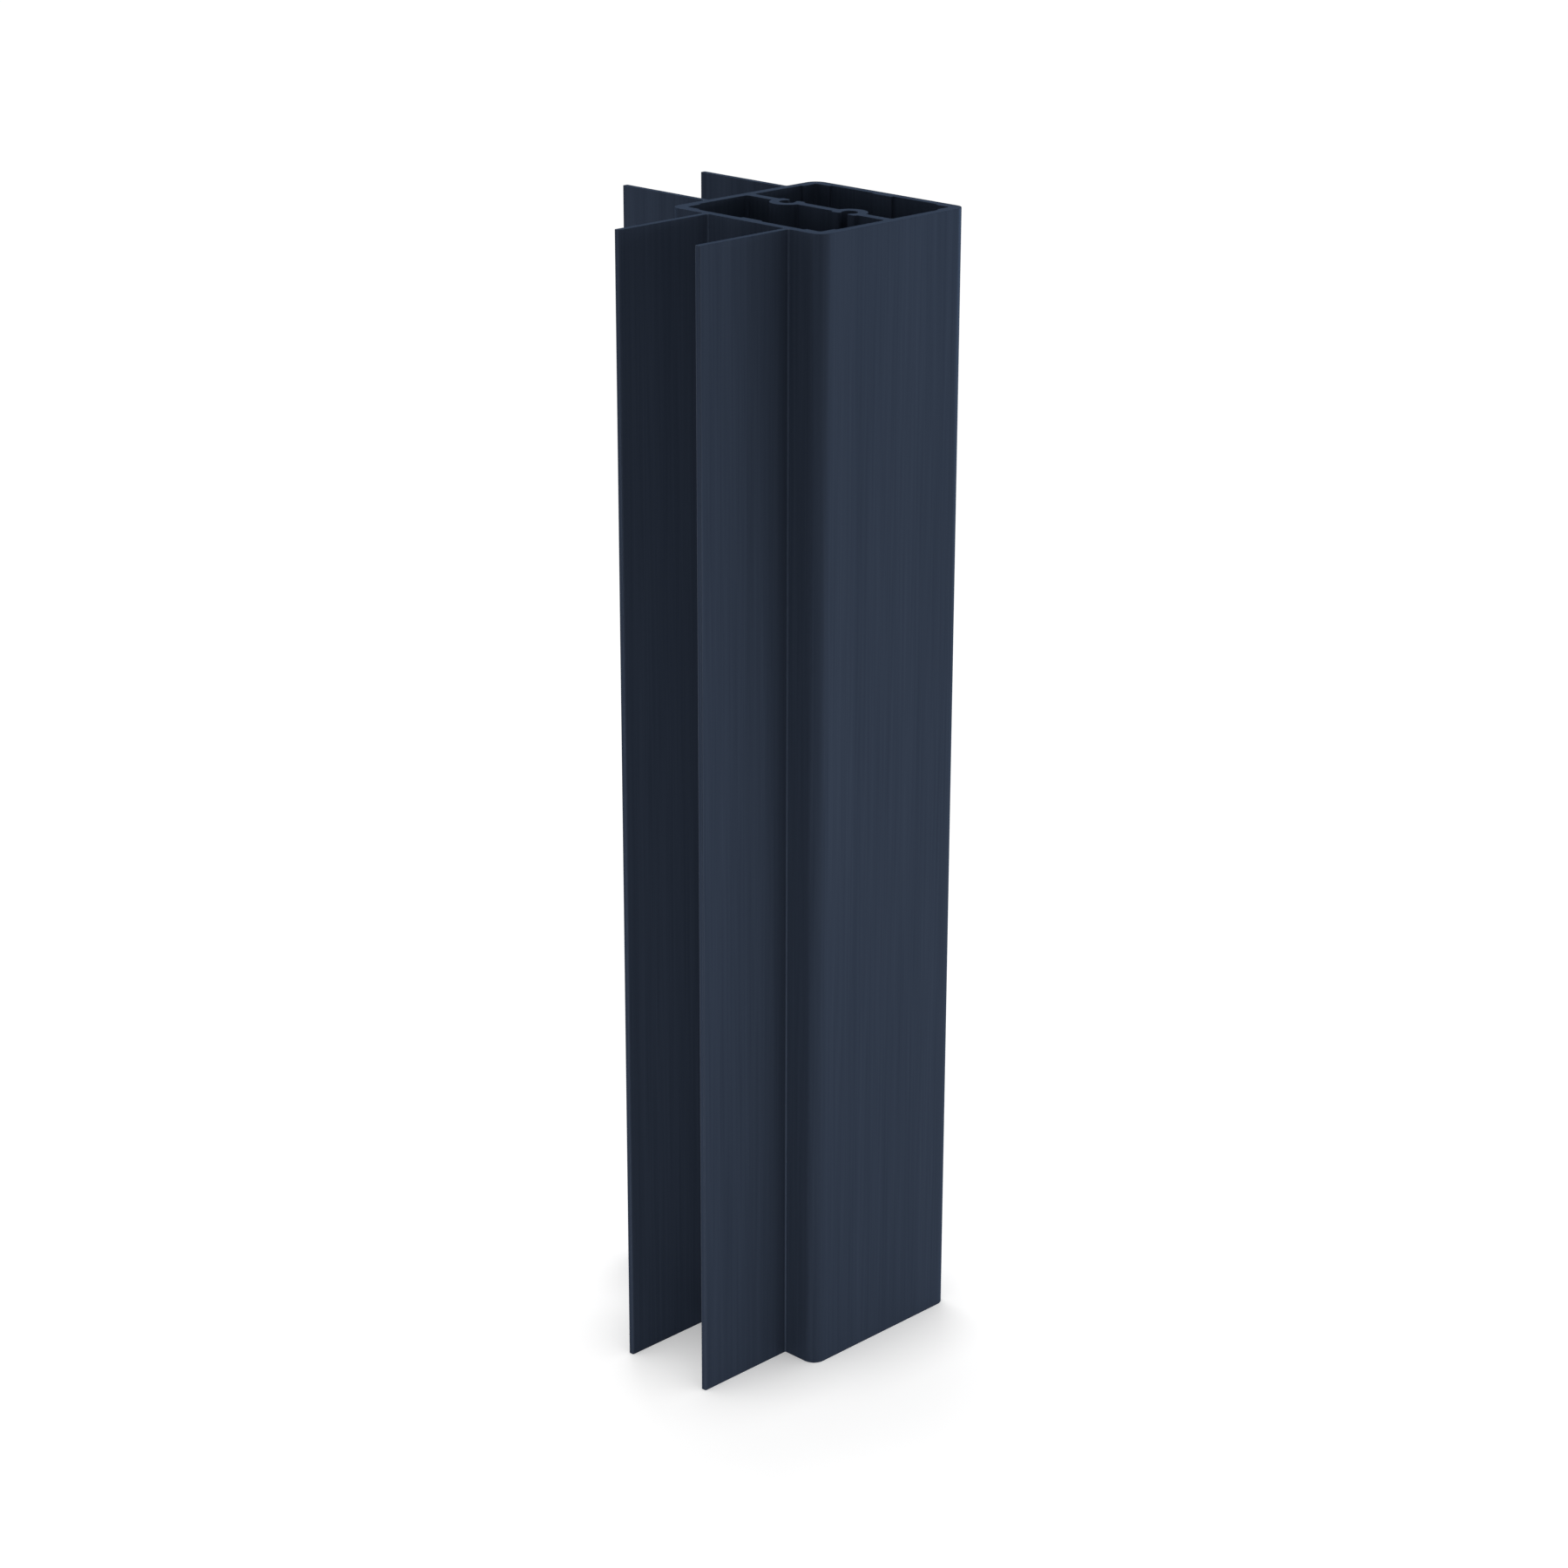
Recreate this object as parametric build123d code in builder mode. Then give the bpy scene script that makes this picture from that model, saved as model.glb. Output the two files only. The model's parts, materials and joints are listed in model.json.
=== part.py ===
from build123d import *
import os

# Corner fence post, one length of extruded aluminium, in millimetres.
# The origin is at the middle of the tube, on the foot. +Z runs up the post,
# and the two panel channels open towards +X and +Y.

# Square tube
post_length = 406.0
tube_side = 70.0
tube_corner_radius = 4.5
wall_thickness = 3.2

# Pads that thicken the wall inside, at the four corners and halfway along the +Y and -Y walls
pad_rise = 1.0
corner_pad_reach = 10.5
middle_pad_width = 9.0
chamber_corner_radius = 1.0

# Web across the tube, with two open screw ports whose mouths face opposite ways
web_thickness = 3.4
web_root_radius = 1.0
port_spacing = 28.0
port_offset = 0.4
port_radius = 2.8
port_wall = 3.3
port_lip_reach = 3.4
port_lip_radius = 0.8
port_mouth = 3.6

# Flanges, one pair on each channel face, set a little away from the corner that the channels share
channel_width = 35.0
channel_offset = 0.9
flange_length = 40.0
flange_thickness = 2.2
flange_tip_radius = 0.5
flange_root_radius = 0.5

# Sizes and places that follow from the ones above
face = tube_side / 2
inner_side = tube_side - 2 * wall_thickness
between_pads = inner_side - 2 * pad_rise
plain_span = tube_side - 2 * corner_pad_reach
relief_span = (plain_span - middle_pad_width) / 2
flange_spacing = channel_width + flange_thickness
flange_depth = flange_length + wall_thickness / 2
port_outer_radius = port_radius + port_wall
lip_line = port_lip_reach - port_offset
diagonal = Plane(origin=(0, 0, 0), x_dir=(1, 1, 0), z_dir=(1, -1, 0))
snap = 0.001

# Hollow of the tube: a square between the pads, set back to the plain wall between one pad and the next
with BuildSketch() as hollow:
    Rectangle(between_pads, between_pads)
    fillet(hollow.vertices(), chamber_corner_radius)
    Rectangle(inner_side, plain_span)
    with GridLocations(relief_span + middle_pad_width, 0, 2, 1):
        Rectangle(relief_span, inner_side)

# Boss of one screw port, cut flat across the lips of its mouth
with BuildSketch() as port_boss:
    with Locations((0, port_offset)):
        Circle(port_outer_radius)
    with Locations((0, -lip_line)):
        Rectangle(
            2 * port_outer_radius,
            port_outer_radius + port_lip_reach,
            align=(Align.CENTER, Align.MIN),
            mode=Mode.INTERSECT,
        )

# Screw hole of one port, with the mouth that leaves it open along its whole length
with BuildSketch() as port_hole:
    with Locations((0, port_offset)):
        Circle(port_radius)
        Rectangle(port_mouth, port_outer_radius, align=(Align.CENTER, Align.MAX))

# Flange pair of the +Y face, rooted in the middle of the tube wall
with BuildSketch() as flange_pair:
    with Locations((-channel_offset, face - wall_thickness / 2)):
        with GridLocations(flange_spacing, 0, 2, 1):
            Rectangle(flange_thickness, flange_depth, align=(Align.CENTER, Align.MIN))
    fillet(flange_pair.vertices().group_by(Axis.Y)[-1], flange_tip_radius)

with BuildPart() as corner_post:
    with BuildSketch() as section:
        RectangleRounded(tube_side, tube_side, tube_corner_radius)
        add(hollow.sketch, mode=Mode.SUBTRACT)
        Rectangle(tube_side - wall_thickness, web_thickness)
        with PolarLocations(port_spacing / 2, 2):
            add(port_boss.sketch)
        with PolarLocations(port_spacing / 2, 2):
            add(port_hole.sketch, mode=Mode.SUBTRACT)
        add(flange_pair.sketch)
        mirror(flange_pair.sketch, about=diagonal)

        # Rounding of the two lips at the mouth of each screw port
        lip_line_corners = section.vertices().filter_by(lambda v: abs(abs(v.Y) - lip_line) < snap)
        mouth_corners = lip_line_corners.filter_by(lambda v: abs(abs(v.X) - port_spacing / 2) < port_mouth)
        fillet(mouth_corners, port_lip_radius)

        # Fillets where the web meets the side walls
        side_wall_corners = section.vertices().filter_by(lambda v: abs(abs(v.X) - inner_side / 2) < snap)
        web_roots = side_wall_corners.filter_by(lambda v: abs(abs(v.Y) - web_thickness / 2) < snap)
        fillet(web_roots, web_root_radius)

        # Fillets where the flanges leave the tube, leaving out the two ends of each channel face
        corners_y = section.vertices().filter_by_position(Axis.Y, face - snap, face + snap)
        corners_x = section.vertices().filter_by_position(Axis.X, face - snap, face + snap)
        fillet(corners_y.sort_by(Axis.X)[1:-1] + corners_x.sort_by(Axis.Y)[1:-1], flange_root_radius)
    extrude(amount=post_length)

corner_post.part.label = "corner_post"
os.makedirs("parts", exist_ok=True)
export_step(corner_post.part, "parts/corner_post.step")
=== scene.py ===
import json
import math

import bpy
import numpy as np
from mathutils import Matrix, Vector
from mathutils.geometry import tessellate_polygon


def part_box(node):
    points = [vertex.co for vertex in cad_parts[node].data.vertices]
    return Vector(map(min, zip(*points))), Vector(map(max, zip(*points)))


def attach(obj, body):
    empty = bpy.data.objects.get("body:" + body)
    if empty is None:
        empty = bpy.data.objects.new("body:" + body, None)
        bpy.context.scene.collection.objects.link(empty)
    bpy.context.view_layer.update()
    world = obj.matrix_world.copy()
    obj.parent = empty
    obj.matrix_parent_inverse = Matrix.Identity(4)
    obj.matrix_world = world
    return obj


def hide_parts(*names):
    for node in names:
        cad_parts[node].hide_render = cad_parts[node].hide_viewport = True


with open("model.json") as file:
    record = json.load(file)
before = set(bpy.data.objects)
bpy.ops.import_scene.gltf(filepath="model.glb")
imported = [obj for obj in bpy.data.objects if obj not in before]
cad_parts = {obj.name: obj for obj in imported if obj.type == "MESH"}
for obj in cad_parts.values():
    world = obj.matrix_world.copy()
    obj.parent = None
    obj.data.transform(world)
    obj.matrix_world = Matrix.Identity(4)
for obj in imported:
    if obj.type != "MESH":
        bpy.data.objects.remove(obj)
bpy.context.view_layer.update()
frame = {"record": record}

# Extruded post
# The post is one length of aluminium pressed through a die: a square tube with a web across it, two open
# screw ports on the web, and four flanges that make a panel channel on each of two faces.
# It is sawn square at both ends, the burr is eased off, and the whole length has a satin anthracite coat.

mm = 0.001
post_low, post_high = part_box("corner_post")
mounts = {mount["name"]: mount for mount in frame["record"]["mounts"]}

# Tube, flanges and the pads inside, with the least radius that the die holds on an inner edge
tube_face = -post_low.x
flange_reach = post_high.x
post_length = post_high.z
wall_thickness = 3.2 * mm
tube_corner_radius = 4.5 * mm
channel_width = 35.0 * mm
channel_offset = -mounts["panel_channel_x"]["pos_m"][1]
flange_thickness = 2.2 * mm
flange_tip_radius = 0.5 * mm
flange_root_radius = 0.5 * mm
chamber_radius = 1.0 * mm
pad_rise = 1.0 * mm
corner_pad_reach = 10.5 * mm
middle_pad_width = 9.0 * mm
die_radius = 0.3 * mm

# Web and screw ports
web_thickness = 3.4 * mm
port_radius = mounts["screw_port_minus_x"]["dims"]["r_mm"] * mm
port_wall = 3.3 * mm
port_lip_reach = 3.4 * mm
port_lip_radius = 0.8 * mm
port_mouth = 3.6 * mm

# Fineness of the mesh: steps in a rounded corner, spacing along the ports' circles, and the short flat
# beside each corner that keeps the shading of the wide faces even
corner_steps = 10
circle_spacing = 0.4 * mm
flat_run = 0.08 * mm

# Rounding of the sawn edges
sawn_edge_radius = 0.08 * mm
sawn_edge_steps = 4


def around(centre, radius, start, end, end_rounding):
    """Corners along a circle from the start angle to the end angle: centre plus radius times cosine and sine.
    Only the first and the last are rounded, where the circle meets the next straight."""
    count = max(3, round(abs(end - start) * radius / circle_spacing))
    angle = np.linspace(start, end, count + 1)
    rounding = np.zeros_like(angle)
    rounding[[0, -1]] = end_rounding
    return np.column_stack([centre[0] + radius * np.cos(angle), centre[1] + radius * np.sin(angle), rounding])


def outline(corners):
    """A closed line through corners given as x, y and radius. Where the sides of a corner meet at twice the
    angle h, its arc starts radius / tan(h) along each side and turns about the point radius / sin(h) along
    the bisector. A corner with no radius stays a point."""
    point = corners[:, None, :2]
    radius = corners[:, None, 2:]
    back = np.roll(point, 1, axis=0) - point
    ahead = np.roll(point, -1, axis=0) - point
    back /= np.linalg.norm(back, axis=2, keepdims=True)
    ahead /= np.linalg.norm(ahead, axis=2, keepdims=True)
    half = np.arccos((back * ahead).sum(axis=2, keepdims=True)) / 2
    bisector = (back + ahead) / np.linalg.norm(back + ahead, axis=2, keepdims=True)
    centre = point + bisector * radius / np.sin(half)
    reach = radius / np.tan(half)
    first = point + back * reach - centre
    last = point + ahead * reach - centre
    turn = np.pi - 2 * half
    share = np.linspace(0, 1, corner_steps + 1)[None, :, None]
    arc = centre + (np.sin((1 - share) * turn) * first + np.sin(share * turn) * last) / np.sin(turn)
    before = point + back * (reach + flat_run)
    after = point + ahead * (reach + flat_run)
    line = np.concatenate([before, arc, after], axis=1)
    kept = np.ones(line.shape[:2], bool)
    kept[corners[:, 2] == 0, 1:] = False
    line[corners[:, 2] == 0, 0] = point[corners[:, 2] == 0, 0]
    return line[kept]


# The tube's outside runs anticlockwise. The flanges of the +Y face are those of the +X face mirrored
# in the diagonal of the tube, so they run the other way.
flange_spread = (channel_width + flange_thickness) / 2
flange_places = np.array([-flange_spread, flange_spread]) - channel_offset
flange_sides = np.add.outer(flange_places, [-flange_thickness / 2, flange_thickness / 2])
flanges_x = np.column_stack([
    np.tile([tube_face, flange_reach, flange_reach, tube_face], 2),
    np.repeat(flange_sides, 2),
    np.tile([flange_root_radius, flange_tip_radius, flange_tip_radius, flange_root_radius], 2),
])
flanges_y = flanges_x[::-1, [1, 0, 2]]
outside = outline(np.vstack([
    (-tube_face, -tube_face, tube_corner_radius),
    (tube_face, -tube_face, tube_corner_radius),
    flanges_x,
    (tube_face, tube_face, tube_corner_radius),
    flanges_y,
    (-tube_face, tube_face, tube_corner_radius),
]))

# The chamber on the +Y side runs clockwise: up its left wall, along the top, down the right wall, and back
# along the web over the closed back of one port and into the open mouth of the other
wall_line = tube_face - wall_thickness
pad_line = wall_line - pad_rise
pad_end = tube_face - corner_pad_reach
middle_pad_end = middle_pad_width / 2
web_line = web_thickness / 2
left_wall = np.array([
    (-wall_line, web_line, chamber_radius),
    (-wall_line, pad_end, die_radius),
    (-pad_line, pad_end, die_radius),
    (-pad_line, pad_line, chamber_radius),
    (-pad_end, pad_line, die_radius),
    (-pad_end, wall_line, die_radius),
    (-middle_pad_end, wall_line, die_radius),
    (-middle_pad_end, pad_line, die_radius),
])
right_wall = left_wall[::-1] * (-1, 1, 1)
port_back = mounts["screw_port_plus_x"]["pos_m"][:2]
port_open = mounts["screw_port_minus_x"]["pos_m"][:2]
boss_radius = port_radius + port_wall
back_angle = math.asin((web_line - port_back[1]) / boss_radius)
open_angle = math.asin((web_line - port_open[1]) / boss_radius)
lip_angle = math.asin(port_lip_reach / boss_radius)
mouth_angle = math.acos(port_mouth / 2 / port_radius)
lip_line = port_open[1] + port_lip_reach
chamber = outline(np.vstack([
    left_wall,
    right_wall,
    around(port_back, boss_radius, back_angle, np.pi - back_angle, die_radius),
    around(port_open, boss_radius, open_angle, lip_angle, die_radius),
    (port_open[0] + port_mouth / 2, lip_line, port_lip_radius),
    around(port_open, port_radius, mouth_angle, -np.pi - mouth_angle, die_radius),
    (port_open[0] - port_mouth / 2, lip_line, port_lip_radius),
    around(port_open, boss_radius, np.pi - lip_angle, np.pi - open_angle, die_radius),
]))

# Rows along the post: a quarter round at each sawn edge, where the section draws back into the metal by
# radius * (1 - cos) at a depth of radius * (1 - sin) below the cut, and one row further in
sawn_angle = np.linspace(np.pi / 2, 0, sawn_edge_steps + 1)
row_setback = np.append(sawn_edge_radius * (1 - np.cos(sawn_angle)), 0)
row_depth = np.append(sawn_edge_radius * (1 - np.sin(sawn_angle)), 2 * sawn_edge_radius)
setback = np.concatenate([row_setback, row_setback[::-1]])
height = np.concatenate([row_depth, post_length - row_depth[::-1]])


def carried(line):
    """The rows of a closed section line carried up the post, with the metal on the line's left. Each point
    draws back along the mitre of its two sides, which is the sum of their normals over one plus the
    normals' product."""
    side = np.roll(line, -1, axis=0) - line
    side /= np.linalg.norm(side, axis=1, keepdims=True)
    normal = np.column_stack([side[:, 1], -side[:, 0]])
    before = np.roll(normal, 1, axis=0)
    mitre = (before + normal) / (1 + (before * normal).sum(axis=1, keepdims=True))
    rows = np.empty((len(height), len(line), 3))
    rows[:, :, :2] = line - setback[:, None, None] * mitre
    rows[:, :, 2] = height[:, None]
    return rows


# The second chamber is the first turned half round the post
surfaces = [carried(line) for line in (outside, chamber, -chamber)]
vertices = np.concatenate([rows.reshape(-1, 3) for rows in surfaces])
numbers = np.split(np.arange(len(vertices)), np.cumsum([rows[..., 0].size for rows in surfaces])[:-1])
grids = [number.reshape(rows.shape[:2]) for number, rows in zip(numbers, surfaces)]
walls = np.concatenate([
    np.stack([grid[:-1], ahead[:-1], ahead[1:], grid[1:]], axis=2).reshape(-1, 4)
    for grid, ahead in ((grid, np.roll(grid, -1, axis=1)) for grid in grids)
])

# The sawn faces fill the section between its three lines, the top one facing up and the foot facing down
cut = np.array(tessellate_polygon([rows[-1].tolist() for rows in surfaces]))
cut_points = np.concatenate([rows[-1, :, :2] for rows in surfaces])[cut]
first_side = cut_points[:, 1] - cut_points[:, 0]
second_side = cut_points[:, 2] - cut_points[:, 0]
faces_down = first_side[:, 0] * second_side[:, 1] < first_side[:, 1] * second_side[:, 0]
cut[faces_down] = cut[faces_down, ::-1]
top_cut = np.concatenate([grid[-1] for grid in grids])[cut]
foot_cut = np.concatenate([grid[0] for grid in grids])[cut[:, ::-1]]

post_mesh = bpy.data.meshes.new("extruded_post")
post_mesh.from_pydata(vertices, [], walls.tolist() + top_cut.tolist() + foot_cut.tolist())
is_wall = np.arange(len(post_mesh.polygons)) < len(walls)
post_mesh.polygons.foreach_set("use_smooth", is_wall)
sawn = post_mesh.attributes.new("sawn", "FLOAT", "FACE")
sawn.data.foreach_set("value", np.where(is_wall, 0.0, 1.0).astype(np.float32))

# The coat flows together in the roots of the flanges and has more gloss there, and a little more on their
# rounded tips. The faces of a root or a tip stand off the tube's face or the flange's end by more than a
# hair and by less than the radius.
root_gloss = 0.5
tip_gloss = 0.15
hair = 0.001 * mm
wall_reach = vertices[walls].mean(axis=1)[:, :2].max(axis=1)
from_tube = wall_reach - tube_face
from_end = flange_reach - wall_reach
on_root = (from_tube > hair) & (from_tube < flange_root_radius)
on_tip = (from_end > hair) & (from_end < flange_tip_radius)
gloss_level = np.zeros(len(post_mesh.polygons), np.float32)
gloss_level[:len(walls)] = root_gloss * on_root + tip_gloss * on_tip
gloss = post_mesh.attributes.new("gloss", "FLOAT", "FACE")
gloss.data.foreach_set("value", gloss_level)

post_mesh.validate()
post = bpy.data.objects.new("extruded_post", post_mesh)
bpy.context.collection.objects.link(post)

# Satin anthracite coat, with the lines that the die leaves along the metal showing through it as bands
# a few millimetres wide and as finer lines, and with saw marks instead on the two cut ends
coat_dark = (0.0272, 0.0370, 0.0585, 1)
coat_light = (0.0340, 0.0456, 0.0707, 1)
gloss_tint = (0.6, 0.75, 1, 1)
line_draw = 0.012
saw_centre = (0.16, -0.22, 0)
peel_depth = 0.03 * mm
mark_depth = 0.04 * mm


def shader_node(tree, kind, settings, inputs):
    """Adds a node, sets its own settings, and gives each input its value or its link."""
    node = tree.nodes.new(kind)
    for name, value in settings.items():
        setattr(node, name, value)
    for name, value in inputs.items():
        if isinstance(value, bpy.types.NodeSocket):
            tree.links.new(value, node.inputs[name])
        else:
            node.inputs[name].default_value = value
    return node


coat = bpy.data.materials.new("anthracite_coat")
coat.use_nodes = True
tree = coat.node_tree
principled = tree.nodes["Principled BSDF"]
place = shader_node(tree, "ShaderNodeTexCoord", {}, {}).outputs["Object"]
along = shader_node(tree, "ShaderNodeMapping", {}, {"Vector": place, "Scale": (1, 1, line_draw)}).outputs[0]
bands = shader_node(tree, "ShaderNodeTexNoise", {}, {
    "Vector": along, "Scale": 150, "Detail": 2, "Roughness": 0.5}).outputs["Fac"]
fine_lines = shader_node(tree, "ShaderNodeTexNoise", {}, {
    "Vector": along, "Scale": 1000, "Detail": 2, "Roughness": 0.6}).outputs["Fac"]
lines = shader_node(tree, "ShaderNodeMix", {}, {
    "Factor": 0.55, "A": bands, "B": fine_lines}).outputs["Result"]
from_saw = shader_node(tree, "ShaderNodeMapping", {}, {"Vector": place, "Location": saw_centre}).outputs[0]
saw_marks = shader_node(tree, "ShaderNodeTexWave", {"wave_type": "RINGS", "rings_direction": "Z"}, {
    "Vector": from_saw, "Scale": 260, "Distortion": 1.5, "Detail": 2, "Detail Scale": 2.0}).outputs["Fac"]
sawn_end = shader_node(tree, "ShaderNodeAttribute", {"attribute_name": "sawn"}, {}).outputs["Fac"]
marks = shader_node(tree, "ShaderNodeMix", {}, {
    "Factor": sawn_end, "A": lines, "B": saw_marks}).outputs["Result"]
tone = shader_node(tree, "ShaderNodeMapRange", {}, {
    "Value": marks, "From Min": 0.35, "From Max": 0.65}).outputs["Result"]
colour = shader_node(tree, "ShaderNodeMix", {"data_type": "RGBA"}, {
    "Factor": tone, 6: coat_dark, 7: coat_light}).outputs[2]
peel = shader_node(tree, "ShaderNodeTexNoise", {}, {
    "Vector": place, "Scale": 1300, "Detail": 2, "Roughness": 0.5}).outputs["Fac"]
peel_bump = shader_node(tree, "ShaderNodeBump", {}, {
    "Strength": 0.25, "Distance": peel_depth, "Height": peel}).outputs["Normal"]
mark_bump = shader_node(tree, "ShaderNodeBump", {}, {
    "Strength": 0.4, "Distance": mark_depth, "Height": marks, "Normal": peel_bump}).outputs["Normal"]
roughness = shader_node(tree, "ShaderNodeMapRange", {}, {
    "Value": marks, "From Min": 0.3, "From Max": 0.7, "To Min": 0.52, "To Max": 0.38}).outputs["Result"]
own_gloss = shader_node(tree, "ShaderNodeAttribute", {"attribute_name": "gloss"}, {}).outputs["Fac"]
tree.links.new(colour, principled.inputs["Base Color"])
tree.links.new(roughness, principled.inputs["Roughness"])
tree.links.new(own_gloss, principled.inputs["Specular IOR Level"])
tree.links.new(mark_bump, principled.inputs["Normal"])
principled.inputs["Metallic"].default_value = 0.15
principled.inputs["Specular Tint"].default_value = gloss_tint
post_mesh.materials.append(coat)

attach(post, "root")
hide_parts("corner_post")

# Floor
# A plain white sheet that the post stands on. The camera and the gloss see it as white, it keeps the post's
# soft shadow, and to the rays that only light the post it is a matt light grey. Close round the post's foot
# its glow is turned down, which is a painted contact shadow on top of the real soft shadow.
floor_reach = 30.0
sheet_grey = (0.6, 0.6, 0.6, 1)
sheet_white = (0.7, 0.7, 0.7, 1)
# Reach and glow of the painted contact shadow round the foot, and the glow out in the open
painted_shadow_reach = 0.035
painted_shadow_glow = 0.21
open_glow = 0.74
floor_mesh = bpy.data.meshes.new("floor")
floor_corners = np.array([(-1, -1, 0), (1, -1, 0), (1, 1, 0), (-1, 1, 0)]) * floor_reach
floor_mesh.from_pydata(floor_corners, [], [(0, 1, 2, 3)])
floor = bpy.data.objects.new("floor", floor_mesh)
bpy.context.collection.objects.link(floor)
sheet = bpy.data.materials.new("white_sheet")
sheet.use_nodes = True
tree = sheet.node_tree
tree.nodes.clear()


def seen_white(tree):
    """One for the camera and for rays that gloss or glass sends on, and none for rays that only light."""
    path = shader_node(tree, "ShaderNodeLightPath", {}, {})
    seen = shader_node(tree, "ShaderNodeMath", {"operation": "MAXIMUM"}, {
        0: path.outputs["Is Camera Ray"], 1: path.outputs["Is Glossy Ray"]}).outputs[0]
    return shader_node(tree, "ShaderNodeMath", {"operation": "MAXIMUM"}, {
        0: seen, 1: path.outputs["Is Transmission Ray"]}).outputs[0]


lit = shader_node(tree, "ShaderNodeBsdfDiffuse", {}, {"Color": sheet_grey}).outputs[0]
white = shader_node(tree, "ShaderNodeBsdfDiffuse", {}, {"Color": sheet_white}).outputs[0]
# Painted contact shadow: the glow falls from the open level to the shadow level where ambient occlusion finds
# the post close by
painted_shadow_mask = shader_node(tree, "ShaderNodeAmbientOcclusion", {"samples": 1}, {
    "Distance": painted_shadow_reach}).outputs["AO"]
glow_with_painted_shadow = shader_node(tree, "ShaderNodeMapRange", {}, {
    "Value": painted_shadow_mask, "To Min": painted_shadow_glow, "To Max": open_glow}).outputs["Result"]
glow = shader_node(tree, "ShaderNodeEmission", {}, {"Strength": glow_with_painted_shadow}).outputs[0]
shown = shader_node(tree, "ShaderNodeAddShader", {}, {0: white, 1: glow}).outputs[0]
surface = shader_node(tree, "ShaderNodeMixShader", {}, {0: seen_white(tree), 1: lit, 2: shown}).outputs[0]
shader_node(tree, "ShaderNodeOutputMaterial", {}, {"Surface": surface})
floor_mesh.materials.append(sheet)

# Light
# A white tent all round gives an even level, and soft lamps that each light one object are added. The post
# has one in front, one to the right and one low beside it, one to the left, one high behind for the cut end,
# and a strip in the near channel. The floor's stands overhead, so that the shadow falls to the front.
white_light = (1, 1, 1, 1)
tent_level = 0.4
backdrop_level = 1
world = bpy.data.worlds.new("white_tent")
bpy.context.scene.world = world
world.use_nodes = True
tree = world.node_tree
tree.nodes.clear()
tent = shader_node(tree, "ShaderNodeBackground", {}, {
    "Color": white_light, "Strength": tent_level}).outputs[0]
backdrop = shader_node(tree, "ShaderNodeBackground", {}, {
    "Color": white_light, "Strength": backdrop_level}).outputs[0]
surface = shader_node(tree, "ShaderNodeMixShader", {}, {0: seen_white(tree), 1: tent, 2: backdrop}).outputs[0]
shader_node(tree, "ShaderNodeOutputWorld", {}, {"Surface": surface})

# Place and aim, width and height in metres, watts, the object that it lights, and whether the gloss shows it
middle = (0, 0, post_length / 2)
lamps = {
    "front_lamp": ((-0.216, 0.462, 0.10), middle, 0.15, 0.10, 0.88, post, False),
    "right_lamp": ((-0.278, -0.856, 0.35), middle, 0.65, 0.36, 6.1, post, True),
    "low_right_lamp": ((-0.582, -0.144, 0.05), (0, 0, 0.10), 0.58, 0.10, 0.97, post, True),
    "left_lamp": ((0.709, 0.554, 0.30), middle, 0.50, 0.50, 2.3, post, False),
    "back_lamp": ((0.400, -0.400, 1.05), middle, 0.50, 0.50, 3.3, post, True),
    "channel_lamp": ((-0.0165, 0.0575, 0.203), (0.0165, 0.0575, 0.203), 0.025, 0.39, 0.022, post, False),
    "floor_lamp": ((0.150, -0.110, 1.25), middle, 0.20, 0.20, 3.2, floor, False),
}
for name, (lamp_place, aim, width, tall, watts, lit_object, in_gloss) in lamps.items():
    light = bpy.data.lights.new(name, "AREA")
    light.shape = "RECTANGLE"
    light.size = width
    light.size_y = tall
    light.energy = watts
    lamp = bpy.data.objects.new(name, light)
    turn = (Vector(lamp_place) - Vector(aim)).to_track_quat("Z", "Y")
    lamp.matrix_world = Matrix.LocRotScale(lamp_place, turn, None)
    lamp.visible_camera = False
    lamp.visible_glossy = in_gloss
    receivers = bpy.data.collections.new(name)
    receivers.objects.link(lit_object)
    lamp.light_linking.receiver_collection = receivers
    bpy.context.collection.objects.link(lamp)

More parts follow.
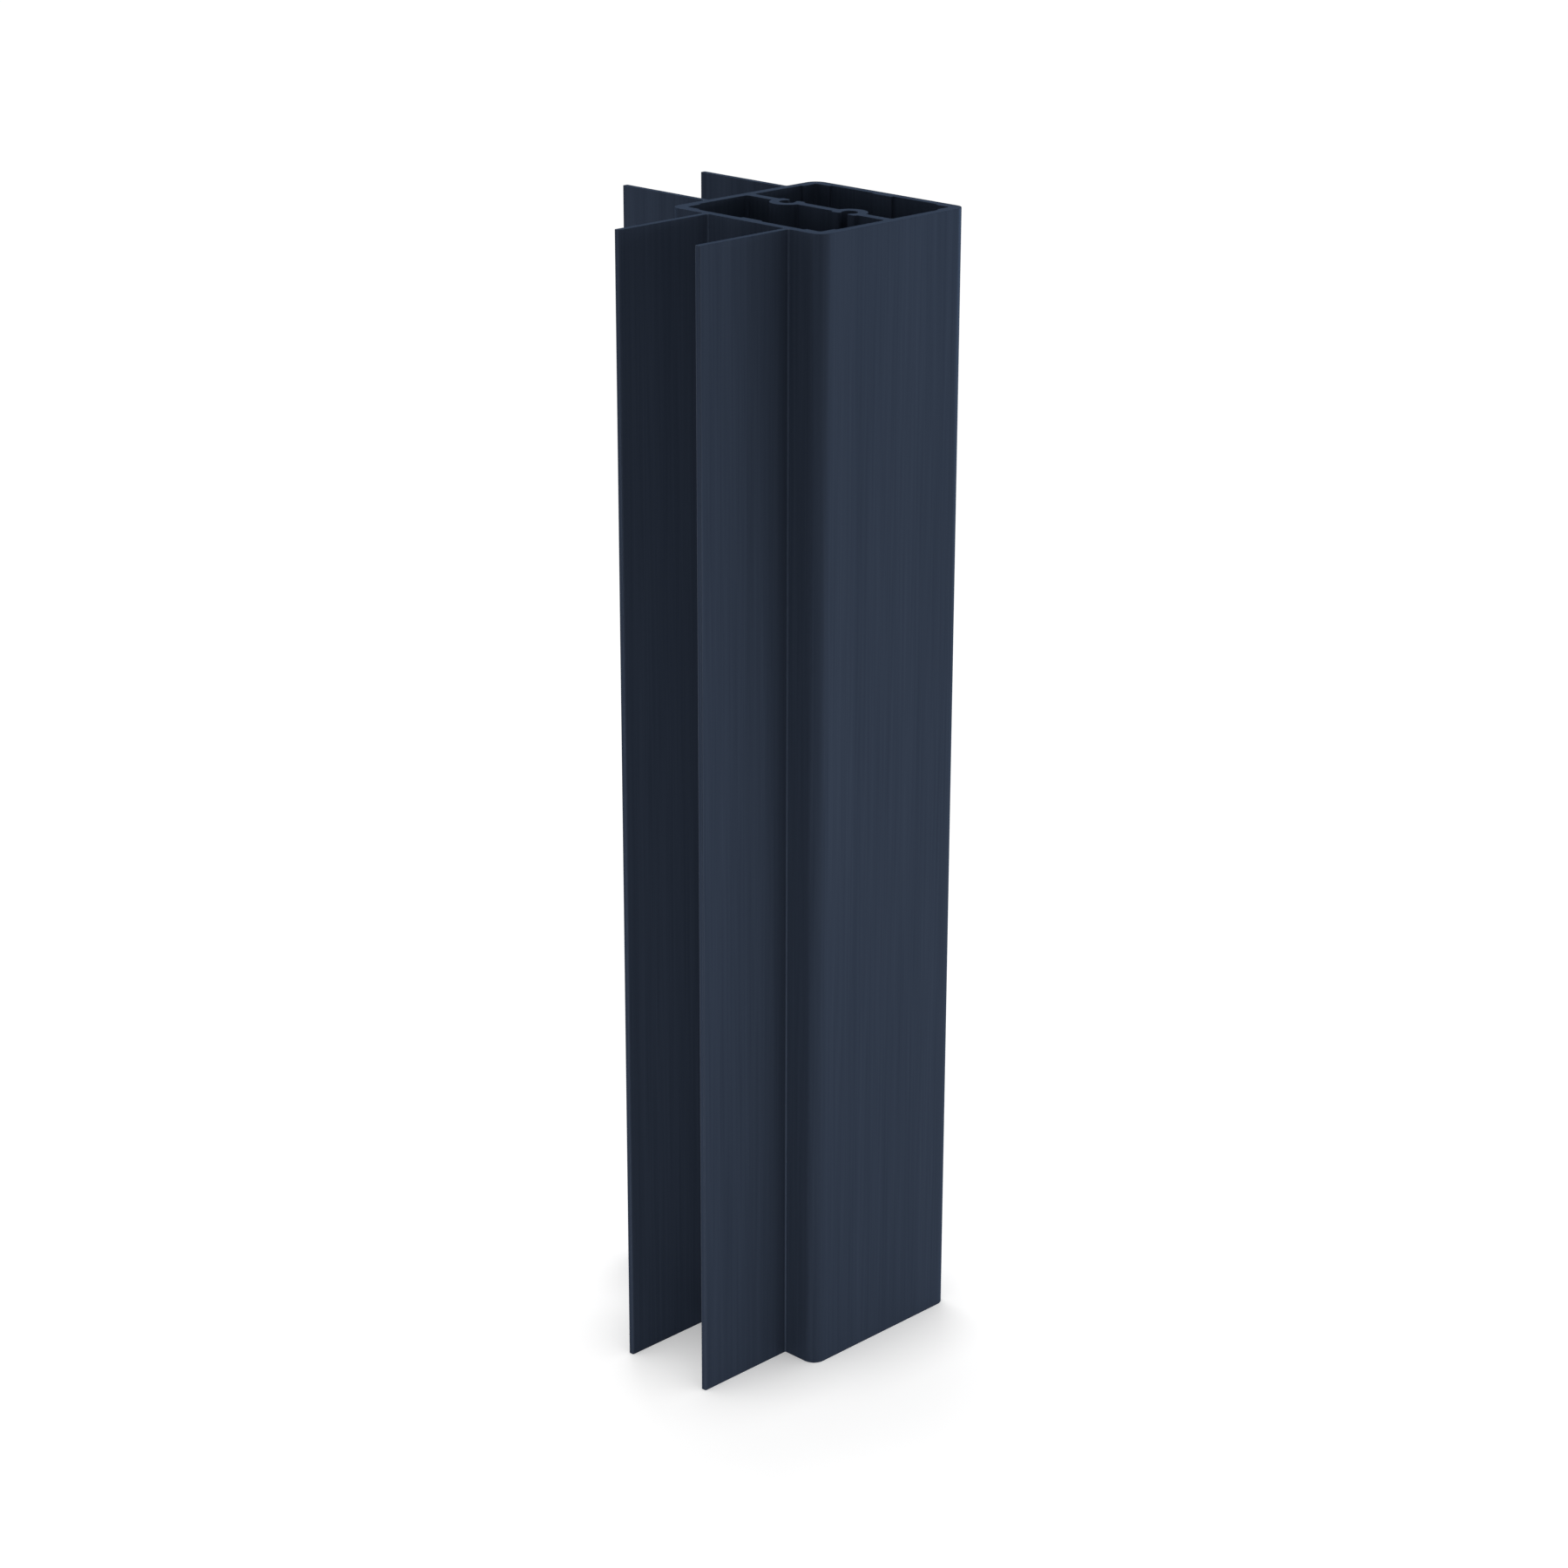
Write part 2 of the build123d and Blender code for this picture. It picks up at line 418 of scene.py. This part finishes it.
# Camera
# It stands where the photograph was taken from, above the post and towards its -X, +Y corner, with a lens of
# about twice the normal length.
camera_place = (-0.8242, 0.8545, 0.6245)
camera_heading = math.radians(-45.510)
camera_pitch = math.radians(-19.565)
camera_roll = math.radians(0.153)
lens = bpy.data.cameras.new("camera")
lens.sensor_width = 36.0
lens.lens = 82.42
camera = bpy.data.objects.new("camera", lens)
bpy.context.collection.objects.link(camera)
camera.matrix_world = (
    Matrix.Translation(camera_place)
    @ Matrix.Rotation(camera_heading - math.pi / 2, 4, "Z")
    @ Matrix.Rotation(camera_pitch + math.pi / 2, 4, "X")
    @ Matrix.Rotation(camera_roll, 4, "Z")
)
bpy.context.scene.camera = camera
bpy.context.scene.view_settings.view_transform = "Standard"

# Dark cloth
# A dark cloth lies on the floor from half a metre in front of the post and hangs behind the camera.
# The camera never sees it and it takes no light away. It only shows in the gloss of the edges that face
# the camera.
cloth_near = 0.5
cloth_far = 1.5
cloth_tall = 1.6
cloth_half = 1.0
cloth_lift = 0.002
cloth_black = (0.01, 0.01, 0.01, 1)
forward = Vector((camera_place[0], camera_place[1], 0)).normalized()
half_side = cloth_half * np.array(forward.cross((0, 0, 1)))
cloth_rows = np.array([
    forward * cloth_near,
    forward * cloth_far,
    forward * cloth_far + Vector((0, 0, cloth_tall)),
])
cloth_points = np.concatenate([cloth_rows - half_side, cloth_rows + half_side]) + (0, 0, cloth_lift)
cloth_mesh = bpy.data.meshes.new("dark_cloth")
cloth_mesh.from_pydata(cloth_points, [], [(0, 3, 4, 1), (1, 4, 5, 2)])
cloth = bpy.data.objects.new("dark_cloth", cloth_mesh)
bpy.context.collection.objects.link(cloth)
cloth.visible_camera = False
cloth.visible_diffuse = False
cloth.visible_shadow = False
black = bpy.data.materials.new("dark_cloth")
black.use_nodes = True
tree = black.node_tree
tree.nodes.clear()
surface = shader_node(tree, "ShaderNodeBsdfDiffuse", {}, {"Color": cloth_black}).outputs[0]
shader_node(tree, "ShaderNodeOutputMaterial", {}, {"Surface": surface})
cloth_mesh.materials.append(black)
